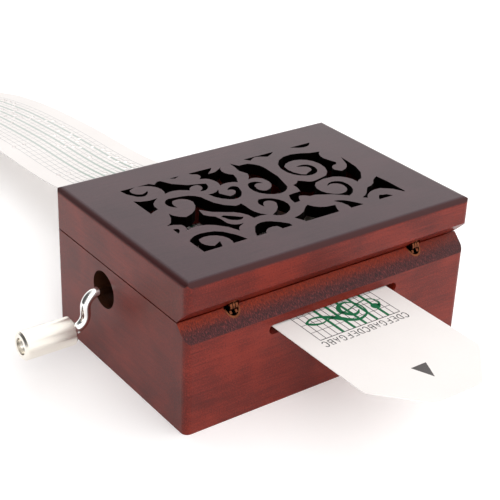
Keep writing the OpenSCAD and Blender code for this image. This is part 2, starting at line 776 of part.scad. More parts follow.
module comb() {
    color(steel)
        difference() {
            translate([0, 0, comb_top - comb_t]) linear_extrude(comb_t)
                union() {
                    polygon([[strip_x - comb_w / 2, comb_back], [strip_x + comb_w / 2, comb_back],
                        [strip_x + comb_w / 2, comb_root + comb_slant], [strip_x - comb_w / 2, comb_root]]);
                    for (i = [0:notes - 1]) {
                        x = strip_x + (i - (notes - 1) / 2) * note_pitch;
                        translate([x - tooth_w / 2, comb_root - 1])
                            square([tooth_w, star_y - comb_root + 1]);
                    }
                }
            comb_places() translate([0, 0, comb_top - comb_t - 1])
                cylinder(h = comb_t + 2, r = screw_r + fit_gap);
        }
}

module comb_damper() {
    color(rubber)
        block([strip_x - comb_w / 2, star_y - 5, comb_top - comb_t - 0.8],
            [strip_x + comb_w / 2, star_y - 3.5, comb_top - comb_t]);
}

module comb_screws() {
    color(steel)
        comb_places()
            difference() {
                union() {
                    translate([0, 0, comb_top - comb_t - 3]) cylinder(h = comb_t + 3, r = screw_r);
                    translate([0, 0, comb_top]) cylinder(h = head_t, r = head_r);
                }
                translate([-0.25, -4, comb_top + head_t - 0.4]) cube([0.5, 8, 1]);
            }
}

function note_x(i) = strip_x + (i - (notes - 1) / 2) * note_pitch;

module star_shaft() {
    color(steel) rod_x(left_out, right_out, star_y, star_z, star_shaft_r);
}

module star_spacers() {
    bore = star_shaft_r + run_gap;
    half = (note_pitch - star_t) / 2 - run_gap;
    edge = star_t / 2 + run_gap;
    color(brass)
        difference() {
            union() {
                for (i = [0:notes - 2]) {
                    x = note_x(i) + note_pitch / 2;
                    rod_x(x - half, x + half, star_y, star_z, star_shaft_r + 0.8);
                }
                rod_x(left_in + run_gap, note_x(0) - edge, star_y, star_z, star_shaft_r + 0.8);
                rod_x(note_x(notes - 1) + edge, right_in - run_gap, star_y, star_z, star_shaft_r + 0.8);
            }
            rod_x(left_out - 1, right_out + 1, star_y, star_z, bore);
        }
}

module star_wheel(i) {
    color(steel)
        slab_x(note_x(i) - star_t / 2, note_x(i) + star_t / 2)
            translate([star_y, star_z])
                rotate(90 + 180 / star_teeth)
                    difference() {
                        polygon([for (k = [0:star_teeth - 1]) each
                            [star_r * unit(k * 360 / star_teeth),
                            star_r * 0.96 * unit(k * 360 / star_teeth + 5),
                            star_root * unit(k * 360 / star_teeth + 16),
                            star_root * unit(k * 360 / star_teeth + 29)]]);
                        circle(r = star_shaft_r + run_gap);
                    }
}

// ---------- rollers ----------

module sleeves(y, z, outer, inner) {
    edge = strip_w / 2 - sleeve_in;
    difference() {
        for (s = [-1, 1])
            rod_x(strip_x + s * (edge - sleeve_l / 2) - sleeve_l / 2,
                strip_x + s * (edge - sleeve_l / 2) + sleeve_l / 2, y, z, outer);
        rod_x(left_in, right_in, y, z, inner + fit_gap);
    }
}

module roller_shaft(y, z, core, journal, x0, x1) {
    half = strip_w / 2 - sleeve_in;
    rod_x(x0, x1, y, z, journal);
    rod_x(strip_x - half, strip_x + half, y, z, core);
}

module feed_shaft() {
    color(steel)
        roller_shaft(feed_y, feed_z, feed_core_r, feed_shaft_r, gear_x - gear_t / 2 - 0.6, right_out + 1);
}

module feed_sleeves() {
    color(rubber) sleeves(feed_y, feed_z, feed_r, feed_core_r);
}

module pressure_shaft() {
    color(steel)
        roller_shaft(feed_y, press_z, press_core_r, press_shaft_r, left_out - 3.6, right_out + 3.6);
}

module pressure_sleeves() {
    color(rubber) sleeves(feed_y, press_z, press_r, press_core_r);
}

// Leaf springs outside the side plates that bear down on the pressure shaft's ends
module pressure_springs() {
    low = press_z + press_shaft_r + run_gap;
    end_y = spring_y - 2;
    tab_y = spring_y + 2.2;
    color(steel)
        for (s = [-1, 1]) {
            out = s < 0 ? left_out - spring_w : right_out;
            tab = s < 0 ? left_out - spring_t : right_out;
            slab_x(out, out + spring_w)
                polygon([[end_y, spring_z], [feed_y - 5, spring_z], [feed_y, low], [feed_y + 2.4, low + 0.6],
                    [feed_y + 2.2, low + 0.6 + spring_t], [feed_y, low + spring_t],
                    [feed_y - 5, spring_z + spring_t], [end_y, spring_z + spring_t]]);
            difference() {
                block([tab, end_y, spring_z - 5], [tab + spring_t, tab_y, spring_z + eps]);
                rod_x(tab - 1, tab + 2, spring_y, spring_z - 3, screw_r + fit_gap);
            }
        }
}

module spring_screws() {
    color(steel)
        for (s = [-1, 1])
            translate([s * spring_t, 0, 0]) side_screw(s, spring_y, spring_z - 3, cheek_t + spring_t);
}

// ---------- guide plates ----------

// Plate between the side plates with a flange at each end; dir is 1 for flanges up, -1 for down
module bridge(y0, y1, z, dir) {
    block([left_in, y0, z], [right_in, y1, z + guide_t]);
    low = dir < 0 ? z - flange_h : z;
    block([left_in, y0, low], [left_in + guide_t, y1, low + flange_h + guide_t]);
    block([right_in - guide_t, y0, low], [right_in, y1, low + flange_h + guide_t]);
}

module strip_table() {
    z = table_top - guide_t;
    color(steel)
        difference() {
            bridge(-move_y, move_y, z, -1);
            block([strip_x - window_x, feed_y - feed_window, z - 1],
                [strip_x + window_x, feed_y + feed_window, z + 2]);
            block([strip_x - comb_w / 2, star_y - star_window, z - 1],
                [strip_x + comb_w / 2, star_y + star_window, z + 2]);
            block([left_in - 1, -move_y + 6, z - flange_h - 1], [right_in + 1, move_y - 6, z]);
            for (p = [cheek_screw_yz[2], cheek_screw_yz[3]])
                rod_x(left_in - 1, right_in + 1, p[0], p[1], screw_r + fit_gap);
        }
}

module cover_plate() {
    color(steel)
        difference() {
            bridge(cover_y0, cover_y1, cover_low, 1);
            for (p = [cheek_screw_yz[4], cheek_screw_yz[5]])
                rod_x(left_in - 1, right_in + 1, p[0], p[1], screw_r + fit_gap);
        }
}

// ---------- card strip ----------

// Height of the tail at distance d behind the case, as a share of the strip's height
function blend(a, b, d) =
    let (w = b[0] - a[0], t = (d - a[0]) / w)
    (2 * pow(t, 3) - 3 * t * t + 1) * a[1] + (pow(t, 3) - 2 * t * t + t) * w * a[2]
    + (3 * t * t - 2 * pow(t, 3)) * b[1] + (pow(t, 3) - t * t) * w * b[2];
tail_points = [for (k = [0:len(tail) - 2], i = [(k == 0 ? 0 : 1):tail_steps])
    let (d = tail[k][0] + (tail[k + 1][0] - tail[k][0]) * i / tail_steps)
    [case_w / 2 + d, max(strip_z * blend(tail[k], tail[k + 1], d), strip_t / 2)]];

module tongue_2d() {
    front = -case_w / 2 - tongue_l;
    intersection() {
        offset(r = tip_round) offset(delta = -tip_round)
            polygon([[-strip_w / 2, 20], [-strip_w / 2, front + tip_l], [-tip_w / 2, front],
                [tip_w / 2, front], [strip_w / 2, front + tip_l], [strip_w / 2, 20]]);
        translate([-strip_w, front - 1]) square([2 * strip_w, -front + 1]);
    }
}

module card_strip() {
    h = strip_t / 2;
    n = len(tail_points);
    color(card) {
        translate([strip_x, 0, strip_z - h]) linear_extrude(strip_t) tongue_2d();
        slab_x(strip_x - strip_w / 2, strip_x + strip_w / 2)
            polygon(concat([[0, strip_z - h]], [for (p = tail_points) p - [0, h]],
                [for (i = [n - 1:-1:0]) tail_points[i] + [0, h]], [[0, strip_z + h]]));
    }
}

base_panel();
hinge_wall();
lift_wall();
crank_wall();
far_wall();
lid_panel();
lid_hinge_rail();
lid_lift_rail();
lid_crank_rail();
lid_far_rail();
hinge_lower(-hinge_x);  // left_hinge_lower
hinge_upper(-hinge_x);  // left_hinge_upper
hinge_pin(-hinge_x);  // left_hinge_pin
hinge_lower(hinge_x);  // right_hinge_lower
hinge_upper(hinge_x);  // right_hinge_upper
hinge_pin(hinge_x);  // right_hinge_pin
crank_wire();
crank_rivet();
crank_handle();
crank_pinion();
crank_bush();
movement_base();
left_cheek();
right_cheek();
cheek_screws();
mounting_screws();
comb();
comb_damper();
comb_screws();
star_shaft();
star_spacers();
star_wheel(0);  // star_wheel_01
star_wheel(1);  // star_wheel_02
star_wheel(2);  // star_wheel_03
star_wheel(3);  // star_wheel_04
star_wheel(4);  // star_wheel_05
star_wheel(5);  // star_wheel_06
star_wheel(6);  // star_wheel_07
star_wheel(7);  // star_wheel_08
star_wheel(8);  // star_wheel_09
star_wheel(9);  // star_wheel_10
star_wheel(10);  // star_wheel_11
star_wheel(11);  // star_wheel_12
star_wheel(12);  // star_wheel_13
star_wheel(13);  // star_wheel_14
star_wheel(14);  // star_wheel_15
feed_shaft();
feed_sleeves();
feed_gear();
pressure_shaft();
pressure_sleeves();
pressure_springs();
spring_screws();
strip_table();
cover_plate();
card_strip();
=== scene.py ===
"""Looks of the hand-cranked music box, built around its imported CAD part.

Everything is in metres in the part's own frame: X along the case, the hinges and the strip's
front slot on the -Y side, the crank at the -X end, Z up.
"""
import math
import random

import bmesh
import bpy
from mathutils import Matrix, Vector, geometry


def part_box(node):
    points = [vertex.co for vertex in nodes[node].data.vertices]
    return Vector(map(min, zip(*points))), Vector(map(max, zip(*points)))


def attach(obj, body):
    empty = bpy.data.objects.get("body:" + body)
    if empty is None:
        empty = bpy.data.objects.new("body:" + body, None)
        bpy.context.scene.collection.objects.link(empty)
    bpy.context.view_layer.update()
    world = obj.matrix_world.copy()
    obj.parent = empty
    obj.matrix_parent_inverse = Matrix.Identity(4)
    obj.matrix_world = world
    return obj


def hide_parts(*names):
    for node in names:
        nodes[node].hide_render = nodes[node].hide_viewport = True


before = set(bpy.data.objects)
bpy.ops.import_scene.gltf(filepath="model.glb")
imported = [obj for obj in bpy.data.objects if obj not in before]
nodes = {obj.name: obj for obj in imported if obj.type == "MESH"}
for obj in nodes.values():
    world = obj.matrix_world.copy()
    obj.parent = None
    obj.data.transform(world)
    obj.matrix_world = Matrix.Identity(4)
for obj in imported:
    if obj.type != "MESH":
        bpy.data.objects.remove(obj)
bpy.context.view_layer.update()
MM = 0.001


# ---------------------------------------------------------------- materials
class Shade:
    """One procedural material. Positions inside it are in millimetres of the part's frame."""

    def __init__(self, name, **sockets):
        self.mat = bpy.data.materials.new(name)
        self.mat.use_nodes = True
        self.tree = self.mat.node_tree
        self.tree.nodes.clear()
        self.surface = self.add("BsdfPrincipled", **sockets)
        self.add("OutputMaterial", Surface=self.surface.outputs[0])
        coord = self.add("TexCoord")
        scale = self.add("VectorMath", operation="SCALE", Vector=coord.outputs["Object"], Scale=1 / MM)
        self.pos = scale.outputs[0]
        self.normal = coord.outputs["Normal"]

    def add(self, kind, **given):
        """Adds a node. A name that is an input's is a value or a link, and any other is a property."""
        node = self.tree.nodes.new("ShaderNode" + kind)
        later = {}
        for key, value in given.items():
            if key[0].islower():
                setattr(node, key, value)
            else:
                later[key.replace("_", " ")] = value
        for key, value in later.items():
            self.put(node.inputs[key], value)
        return node

    def put(self, socket, value):
        if isinstance(value, bpy.types.NodeSocket):
            self.tree.links.new(value, socket)
        else:
            socket.default_value = value

    def math(self, operation, *values):
        node = self.add("Math", operation=operation)
        for socket, value in zip(node.inputs, values):
            self.put(socket, value)
        return node.outputs[0]

    def stretch(self, x, y, z):
        """The position, scaled along each axis; a small number draws a pattern out that way."""
        node = self.add("VectorMath", operation="MULTIPLY", Vector=self.pos)
        node.inputs[1].default_value = (x, y, z)
        return node.outputs[0]

    def noise(self, where, scale, detail=3.0, rough=0.5, warp=0.0):
        node = self.add("TexNoise", Vector=where, Scale=scale, Detail=detail, Roughness=rough,
                        Distortion=warp)
        return node.outputs[0]

    def axis(self, vector, name):
        return self.add("SeparateXYZ", Vector=vector).outputs[name]

    def step(self, value, low, high):
        """0 below low and 1 above high, smooth between them."""
        node = self.add("MapRange", interpolation_type="SMOOTHSTEP", Value=value)
        node.inputs["From Min"].default_value = low
        node.inputs["From Max"].default_value = high
        return node.outputs[0]

    def ramp(self, value, *stops):
        node = self.add("ValToRGB", Fac=value)
        band = node.color_ramp
        while len(band.elements) < len(stops):
            band.elements.new(0.5)
        for element, (place, colour) in zip(band.elements, stops):
            element.position = place
            element.color = (*colour, 1)
        return node.outputs[0]

    def mix(self, share, a, b):
        node = self.add("Mix", data_type="RGBA")
        for socket, value in zip((node.inputs[0], node.inputs[6], node.inputs[7]), (share, a, b)):
            if isinstance(value, tuple):
                value = (*value, 1)
            self.put(socket, value)
        return node.outputs[2]

    def bump(self, height, depth, below=None):
        """A relief of that depth in millimetres, on top of another if one is given."""
        node = self.add("Bump", Height=height, Distance=depth * MM)
        if below is not None:
            self.put(node.inputs["Normal"], below)
        return node.outputs[0]

    def finish(self, **links):
        for key, value in links.items():
            self.put(self.surface.inputs[key.replace("_", " ")], value)
        return self.mat


STAIN = ((0.0, (0.060, 0.0032, 0.0015)), (0.5, (0.116, 0.0078, 0.0032)), (1.0, (0.190, 0.0165, 0.0070)))
TOP_STAIN = ((0.0, (0.032, 0.0110, 0.0160)), (0.5, (0.043, 0.0155, 0.0210)), (1.0, (0.056, 0.0200, 0.0260)))
EDGE_STAIN = (0.034, 0.0035, 0.0040)
BARE = ((0.0, (0.10, 0.035, 0.012)), (1.0, (0.30, 0.115, 0.040)))
FIELD = 36.5, 22.5                         # half the length and width of the pierced field, in mm
BORE_Z = 10.0, 33.0                        # heights that hold the crank's hole, in mm
BORE_HALF_Y = 20.0                         # half the width of the stretch that holds it, in mm
# painted shade for the inside of the crank's bore
BORE_SHADE = ((0.3, (0.014, 0.004, 0.002)), (0.7, (0.050, 0.016, 0.007)))
SCORCH = ((0.3, (0.001, 0.001, 0.001)), (0.8, (0.006, 0.003, 0.002)))
LACQUER = dict(IOR=1.45, Specular_IOR_Level=0.30)


def wood_tone(s, along):
    """Grain, fibres, clouds and specks of a stained board: (tone from 0 to 1, specks, fibres)."""
    lie = (0.07, 1, 1) if along == "x" else (1, 0.07, 1)
    grain = s.noise(s.stretch(*lie), 0.9, 6.0, 0.62, 0.6)
    fibres = s.noise(s.stretch(*[v if v < 1 else 4.0 for v in lie]), 1.1, 3.0, 0.6)
    clouds = s.noise(s.pos, 0.06, 3.0, 0.5, 0.4)
    speck = s.noise(s.pos, 2.2, 3.0, 0.75)
    tone = s.math("ADD", s.math("MULTIPLY", grain, 0.17), s.math("MULTIPLY", fibres, 0.15))
    tone = s.math("ADD", tone, s.math("MULTIPLY", clouds, 0.28))
    tone = s.math("ADD", tone, s.math("MULTIPLY", speck, 0.40))
    return s.step(tone, 0.37, 0.63), speck, fibres


def wood(name, along="x", lid=False, bevel=False, pierced=False, bored=False):
    """Lacquered mahogany stain; along is the way its grain runs."""
    s = Shade(name, **LACQUER)
    tone, speck, fibres = wood_tone(s, along)
    colour = s.ramp(tone, *STAIN)
    rough = s.math("MULTIPLY_ADD", speck, 0.12, 0.30)
    up = s.axis(s.normal, "Z")
    relief = s.bump(speck, 0.016, s.bump(fibres, 0.016))
    soot = 0.0
    if lid:
        colour = s.mix(s.step(up, 0.12, 0.45), colour, EDGE_STAIN)
        colour = s.mix(s.step(up, 0.86, 0.99), colour, s.ramp(tone, *TOP_STAIN))
    if bored:
        # Inside the crank's hole the wood is painted dark: painted shade in the bore.
        around = s.math("SUBTRACT", 1.0, s.step(s.math("ABSOLUTE", s.axis(s.normal, "X")), 0.3, 0.6))
        near = s.math("MULTIPLY", s.math("GREATER_THAN", s.axis(s.pos, "Z"), BORE_Z[0]),
                      s.math("LESS_THAN", s.axis(s.pos, "Z"), BORE_Z[1]))
        level_y = s.math("LESS_THAN", s.math("ABSOLUTE", s.axis(s.pos, "Y")), BORE_HALF_Y)
        inside = s.math("MULTIPLY", around, s.math("MULTIPLY", near, level_y))
        colour = s.mix(inside, colour, s.ramp(fibres, *BORE_SHADE))
    if pierced:
        # The laser leaves the cut edges of the pattern black.
        x, y = (s.math("ABSOLUTE", s.axis(s.pos, name)) for name in "XY")
        within = s.math("MULTIPLY", s.math("LESS_THAN", x, FIELD[0]), s.math("LESS_THAN", y, FIELD[1]))
        flatness = s.step(s.math("ABSOLUTE", up), 0.2, 0.5)
        wall = s.math("MULTIPLY", within, s.math("SUBTRACT", 1.0, flatness))
        scorch = s.ramp(s.noise(s.stretch(1, 1, 0.3), 2.0, 3.0), *SCORCH)
        colour = s.mix(wall, colour, scorch)
        rough = s.math("MULTIPLY_ADD", wall, 0.65, rough)
        soot = wall                        # black as metal, so that it mirrors next to nothing
    if bevel:
        # The slanting cut along the hinge line shows open grain, dark low down, with lighter streaks as
        # painted glints, an orange-red glow near the top edge as painted light, and painted shade deepening
        # towards the far end, where the light falls off.
        front = s.math("MULTIPLY", s.axis(s.normal, "Y"), -1.0)
        cut = s.math("MULTIPLY", s.step(up, 0.55, 0.65), s.step(front, 0.55, 0.65))
        streak = s.noise(s.stretch(3.6, 1.2, 1.2), 1.0, 5.0, 0.75, 0.3)
        height = s.axis(s.pos, "Z")
        # painted light: the orange-red glow near the top edge
        glow = s.step(s.math("MULTIPLY_ADD", streak, 2.2, height), 30.9, 33.9)
        # the lightest stop paints glints on the streaks
        dark = s.ramp(streak, (0.40, (0.014, 0.001, 0.002)), (0.54, (0.055, 0.005, 0.006)),
                      (0.66, (0.190, 0.032, 0.030)))
        warm = s.ramp(streak, (0.38, (0.085, 0.005, 0.001)), (0.62, (0.250, 0.022, 0.002)))
        # painted shade: darker towards the far end, where the light falls off
        far_shade = s.step(s.axis(s.pos, "X"), 20.0, 62.0)
        bevel_with_painted_light = s.mix(s.math("MULTIPLY", far_shade, 0.6), s.mix(glow, dark, warm), (0.030, 0.002, 0.002))
        colour = s.mix(cut, colour, bevel_with_painted_light)
        relief = s.bump(s.math("MULTIPLY", streak, cut), 0.12, relief)
        rough = s.math("MULTIPLY_ADD", cut, 0.10, rough)
    return s.finish(Base_Color=colour, Roughness=rough, Normal=relief, Metallic=soot)


def bare_wood(name):
    s = Shade(name, IOR=1.45, Specular_IOR_Level=0.3)
    grain = s.noise(s.stretch(0.06, 1, 1), 0.8, 6.0, 0.6, 0.8)
    pores = s.noise(s.stretch(0.3, 3, 3), 1.4, 3.0, 0.6)
    return s.finish(Base_Color=s.ramp(grain, *BARE), Roughness=s.math("MULTIPLY_ADD", pores, 0.2, 0.55),
                    Normal=s.bump(pores, 0.05))


def metal(name, colour, rough, spread=0.05, along=None, relief=0.004, tarnish=0.0):
    """A metal with fine wear; along is the way brushed marks run."""
    s = Shade(name, Metallic=1.0, IOR=1.45)
    lie = {"x": (0.05, 3, 3), "y": (3, 0.05, 3), "z": (3, 3, 0.05), None: (1, 1, 1)}[along]
    marks = s.noise(s.stretch(*lie), 2.2, 4.0, 0.6)
    blots = s.noise(s.pos, 0.35, 4.0, 0.55, 0.5)
    worn = s.math("MULTIPLY", s.step(blots, 0.45, 0.75), tarnish)
    dark = tuple(v * 0.45 for v in colour)
    return s.finish(Base_Color=s.mix(worn, s.mix(marks, tuple(v * 0.93 for v in colour), colour), dark),
                    Roughness=s.math("MULTIPLY_ADD", marks, spread, rough), Normal=s.bump(marks, relief))


def rubber(name):
    s = Shade(name, IOR=1.5, Specular_IOR_Level=0.35)
    grit = s.noise(s.pos, 3.0, 3.0)
    return s.finish(Base_Color=s.ramp(grit, (0.3, (0.012, 0.012, 0.013)), (0.7, (0.028, 0.027, 0.027))),
                    Roughness=s.math("MULTIPLY_ADD", grit, 0.2, 0.6), Normal=s.bump(grit, 0.03))


def card(name):
    s = Shade(name, IOR=1.45, Specular_IOR_Level=0.35)
    pulp = s.noise(s.pos, 1.1, 5.0, 0.7)
    haze = s.noise(s.pos, 0.05, 2.0)
    tone = s.math("ADD", s.math("MULTIPLY", pulp, 0.35), s.math("MULTIPLY", haze, 0.65))
    colour = s.ramp(tone, (0.3, (0.78, 0.745, 0.725)), (0.7, (0.82, 0.79, 0.77)))
    return s.finish(Base_Color=colour, Roughness=s.math("MULTIPLY_ADD", pulp, 0.15, 0.48),
                    Normal=s.bump(pulp, 0.012))


def ink(name, colour, worn=0.12):
    """Printer's ink, a little uneven, and painted paler on the strip's long far part, as if washed out by
    light.
    """
    s = Shade(name, IOR=1.45, Specular_IOR_Level=0.4)
    dots = s.noise(s.pos, 4.0, 3.0, 0.7)
    light = tuple(v + (0.7 - v) * worn for v in colour)
    pale = tuple(v + (0.72 - v) * 0.72 for v in colour)
    tint = s.mix(s.step(dots, 0.55, 0.75), colour, light)
    # painted light: the ink fades towards the far end of the strip
    far = s.math("MULTIPLY", s.step(s.axis(s.pos, "Y"), 35.0, 120.0), 0.9)
    return s.finish(Base_Color=s.mix(far, tint, pale), Roughness=s.math("MULTIPLY_ADD", dots, 0.1, 0.42))


WOOD_X = wood("mahogany_along_x")
WOOD_Y = wood("mahogany_along_y", along="y")
WOOD_CRANK = wood("mahogany_crank_wall", along="y", bored=True)
WOOD_HINGE = wood("mahogany_hinge_wall", bevel=True)
LID_PANEL = wood("lid_panel_stain", lid=True, pierced=True)
BARE_WOOD = bare_wood("bare_base_board")
BRASS = metal("brass", (0.78, 0.50, 0.20), 0.24, tarnish=0.5)
HINGE_BRASS = metal("aged_brass", (0.17, 0.055, 0.026), 0.22, tarnish=0.7)
CHROME = metal("chrome", (0.86, 0.85, 0.83), 0.045, spread=0.03, relief=0.001)
NICKEL = metal("nickel", (0.84, 0.80, 0.73), 0.20, spread=0.10, along="x", relief=0.004)
PLATE = metal("nickel_plate", (0.66, 0.63, 0.58), 0.28, spread=0.10, along="y", relief=0.004)
ZINC = metal("zinc", (0.40, 0.40, 0.41), 0.42, spread=0.15, relief=0.02, tarnish=0.4)
STEEL = metal("steel", (0.58, 0.58, 0.59), 0.24, spread=0.10, along="y", relief=0.003)
RUBBER = rubber("rubber")
CARD = card("card")
INK_BLACK = ink("ink_black", (0.012, 0.012, 0.014))
INK_GREY = ink("ink_grey", (0.070, 0.062, 0.062))
INK_GREEN = ink("ink_green", (0.002, 0.135, 0.052), worn=0.06)

FINISH = {
    "hinge_wall": WOOD_HINGE, "lift_wall": WOOD_X, "crank_wall": WOOD_CRANK, "far_wall": WOOD_Y,
    "base_panel": BARE_WOOD, "lid_panel": LID_PANEL, "lid_hinge_rail": WOOD_X, "lid_lift_rail": WOOD_X,
    "lid_crank_rail": WOOD_Y, "lid_far_rail": WOOD_Y, "crank_wire": CHROME, "crank_rivet": CHROME,
    "crank_handle": NICKEL, "crank_pinion": BRASS, "crank_bush": BRASS, "movement_base": ZINC,
    "comb": STEEL, "comb_damper": RUBBER, "feed_sleeves": RUBBER, "pressure_sleeves": RUBBER,
    "feed_gear": BRASS, "strip_table": PLATE, "cover_plate": PLATE, "left_cheek": PLATE,
    "right_cheek": PLATE, "pressure_springs": BRASS,
}
for name, obj in nodes.items():
    if name in FINISH:
        finish = FINISH[name]
    elif "hinge" in name:
        finish = HINGE_BRASS
    else:
        finish = STEEL
    obj.data.materials.clear()
    obj.data.materials.append(finish)


# ---------------------------------------------------------------- the printed card strip
STRIP_LO, STRIP_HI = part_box("card_strip")
CENTRE_X = (STRIP_LO.x + STRIP_HI.x) / 2
FRONT_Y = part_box("hinge_wall")[0].y        # outer face of the wall that the strip comes out of
NOTES = 15
PITCH = 2.03 * MM
BEAT = 4.15 * MM                           # distance between two cross lines
GRID_Y = FRONT_Y - 12.6 * MM               # front end of the printed grid
HOLE_R = 0.9 * MM
HOLE_SIDES = 16
STAVE = (4, 6, 8, 10, 12)                  # note lines that carry the thick green lines
LIFT = 0.012 * MM                          # height of the ink above the card


def profile():
    """Middle height of the strip along its length, from its CAD node: [(y, z), ...]."""
    rows = {}
    for v in nodes["card_strip"].data.vertices:
        rows.setdefault(round(v.co.y / MM, 2), []).append(v.co.z)
    tail = [(y * MM, (min(z) + max(z)) / 2) for y, z in sorted(rows.items()) if y > 10]
    flat = STRIP_LO.y, max(tail, key=lambda p: -p[0])[1]
    return [flat] + tail


def profile_height(y, table):
    for (y0, z0), (y1, z1) in zip(table, table[1:]):
        if y <= y1:
            return z0 + (z1 - z0) * (y - y0) / (y1 - y0)
    return table[-1][1]


FLAT_Z = [v.co.z for v in nodes["card_strip"].data.vertices if v.co.y < 0]
HALF_T = (max(FLAT_Z) - min(FLAT_Z)) / 2   # half the card's thickness


def smooth_table(table, parts=3):
    """The same line with points between, on a smooth curve through the given ones."""
    out = []
    n = len(table)
    slope = []
    for i in range(n):
        a, b = table[max(i - 1, 0)], table[min(i + 1, n - 1)]
        slope.append((b[1] - a[1]) / (b[0] - a[0]))
    slope[0] = 0.0
    for i in range(n - 1):
        (y0, z0), (y1, z1) = table[i], table[i + 1]
        w = y1 - y0
        if abs(z0 - z1) < 1e-7 and w > 0.02:
            out.append((y0, z0))
            continue
        for k in range(parts):
            t = k / parts
            out.append((y0 + w * t,
                        (2 * t**3 - 3 * t**2 + 1) * z0 + (t**3 - 2 * t**2 + t) * w * slope[i]
                        + (3 * t**2 - 2 * t**3) * z1 + (t**3 - t**2) * w * slope[i + 1]))
    return out + [table[-1]]


TABLE = smooth_table(profile())
KNOTS = [y for y, z in TABLE if y > 0.03]


def line_x(i):
    """X of note line i, from 0 to 14."""
    return CENTRE_X + (i - (NOTES - 1) / 2) * PITCH


def hull(points):
    """Outline of the points, counter-clockwise."""
    points = sorted(set(points))
    half = []
    for run in (points, points[::-1]):
        side = []
        for p in run:
            while len(side) > 1 and ((side[-1][0] - side[-2][0]) * (p[1] - side[-2][1])
                                     - (side[-1][1] - side[-2][1]) * (p[0] - side[-2][0])) <= 1e-13:
                side.pop()
            side.append(p)
        half += side[:-1]
    return half


def tune(seed=7):
    """Punched holes as (line, y): an invented run of notes that rises and falls, with a few chords."""
    rng = random.Random(seed)
    holes, k, note = [], 0, 6
    y = FRONT_Y + 6 * MM
    while y < STRIP_HI.y - 9 * MM:
        note += rng.choice((-3, -2, -1, -1, 1, 1, 2, 3))
        note = min(max(note, 1), NOTES - 2)
        step = rng.choice((1, 1, 1, 2)) * BEAT / 2
        holes.append((note, y))
        if k % 6 == 3:
            holes.append((note - 4 if note > 5 else note + 4, y))
        if k % 13 == 9:
            holes.extend((j, y) for j in (0, 2) if abs(j - note) > 1 and (j, y) not in holes)
        k += 1
        y += step
    return sorted(set(holes))


HOLES = tune()


def gaps(low, high, blocked):
    """What is left of low..high after the blocked stretches."""
    out, at = [], low
    for a, b in sorted(blocked):
        if a > at:
            out.append((at, min(a, high)))
        at = max(at, b)
    if at < high:
        out.append((at, high))
    return [(a, b) for a, b in out if b - a > 0.05 * MM]


def new_piece(name, verts, faces, material):
    mesh = bpy.data.meshes.new(name)
    mesh.from_pydata(verts, [], faces)
    mesh.validate()
    obj = bpy.data.objects.new(name, mesh)
    bpy.context.scene.collection.objects.link(obj)
    mesh.materials.append(material)
    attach(obj, "strip")
    return obj


def build_card():
    """The card: its outline and holes as a flat net, bent along the profile, with real thickness."""
    tip = [(v.co.x, v.co.y) for v in nodes["card_strip"].data.vertices if v.co.y < FRONT_Y - 20 * MM]
    front = hull([(round(x, 7), round(y, 7)) for x, y in tip])
    back = STRIP_HI.y
    outline = hull(front + [(STRIP_LO.x, back), (STRIP_HI.x, back)])
    # The knots' cross lines end on the two long sides, so the outline gets a point at each.
    sides = [(STRIP_HI.x, y) for y in KNOTS if y < back - 1e-6]
    other = [(STRIP_LO.x, y) for y in KNOTS if y < back - 1e-6][::-1]
    ring = []
    for i, p in enumerate(outline):
        q = outline[(i + 1) % len(outline)]
        ring.append(p)
        if abs(p[0] - STRIP_HI.x) < 1e-6 and abs(q[0] - STRIP_HI.x) < 1e-6 and q[1] > back - 1e-6:
            ring += sides
        if abs(p[0] - STRIP_LO.x) < 1e-6 and abs(q[0] - STRIP_LO.x) < 1e-6 and p[1] > back - 1e-6:
            ring += other
    points = list(ring)
    edges = [(i, (i + 1) % len(ring)) for i in range(len(ring))]
    where = {(round(p[0], 7), round(p[1], 7)): i for i, p in enumerate(points)}
    for y in KNOTS:
        if y < back - 1e-6:
            edges.append(tuple(where[(round(x, 7), round(y, 7))] for x in (STRIP_LO.x, STRIP_HI.x)))
    for line, y in HOLES:
        first = len(points)
        cx = line_x(line)
        for k in range(HOLE_SIDES):
            a = -2 * math.pi * k / HOLE_SIDES
            points.append((cx + HOLE_R * math.cos(a), y + HOLE_R * math.sin(a)))
        edges += [(first + k, first + (k + 1) % HOLE_SIDES) for k in range(HOLE_SIDES)]
    net = geometry.delaunay_2d_cdt([Vector(p) for p in points], edges, [], 0, 1e-7)
    flat, tris = net[0], net[2]

    def inside_hole(c):
        return any((c[0] - line_x(i))**2 + (c[1] - y)**2 < (HOLE_R * 0.98)**2 for i, y in HOLES)

    def in_outline(c):
        odd = False
        for i in range(len(ring)):
            (x0, y0), (x1, y1) = ring[i], ring[(i + 1) % len(ring)]
            if (y0 > c[1]) != (y1 > c[1]) and c[0] < (x1 - x0) * (c[1] - y0) / (y1 - y0) + x0:
                odd = not odd
        return odd

    kept = []
    for t in tris:
        c = (sum(flat[i][0] for i in t) / 3, sum(flat[i][1] for i in t) / 3)
        if in_outline(c) and not inside_hole(c):
            kept.append(tuple(t))
    verts, faces = [], []
    count = len(flat)
    for side in (1, -1):
        for p in flat:
            verts.append((p[0], p[1], profile_height(p[1], TABLE) + side * HALF_T))
    uses = {}
    for t in kept:
        faces.append(t)
        faces.append(tuple(i + count for i in reversed(t)))
        for a, b in zip(t, t[1:] + t[:1]):
            uses[(a, b)] = uses.get((a, b), 0) + 1
    for a, b in uses:
        if (b, a) not in uses:
            faces.append((b, a, a + count, b + count))
    obj = new_piece("strip_card", verts, faces, CARD)
    bm = bmesh.new()
    bm.from_mesh(obj.data)
    bmesh.ops.delete(bm, geom=[v for v in bm.verts if not v.link_faces], context="VERTS")
    bmesh.ops.recalc_face_normals(bm, faces=bm.faces)
    bm.to_mesh(obj.data)
    bm.free()
    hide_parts("card_strip")


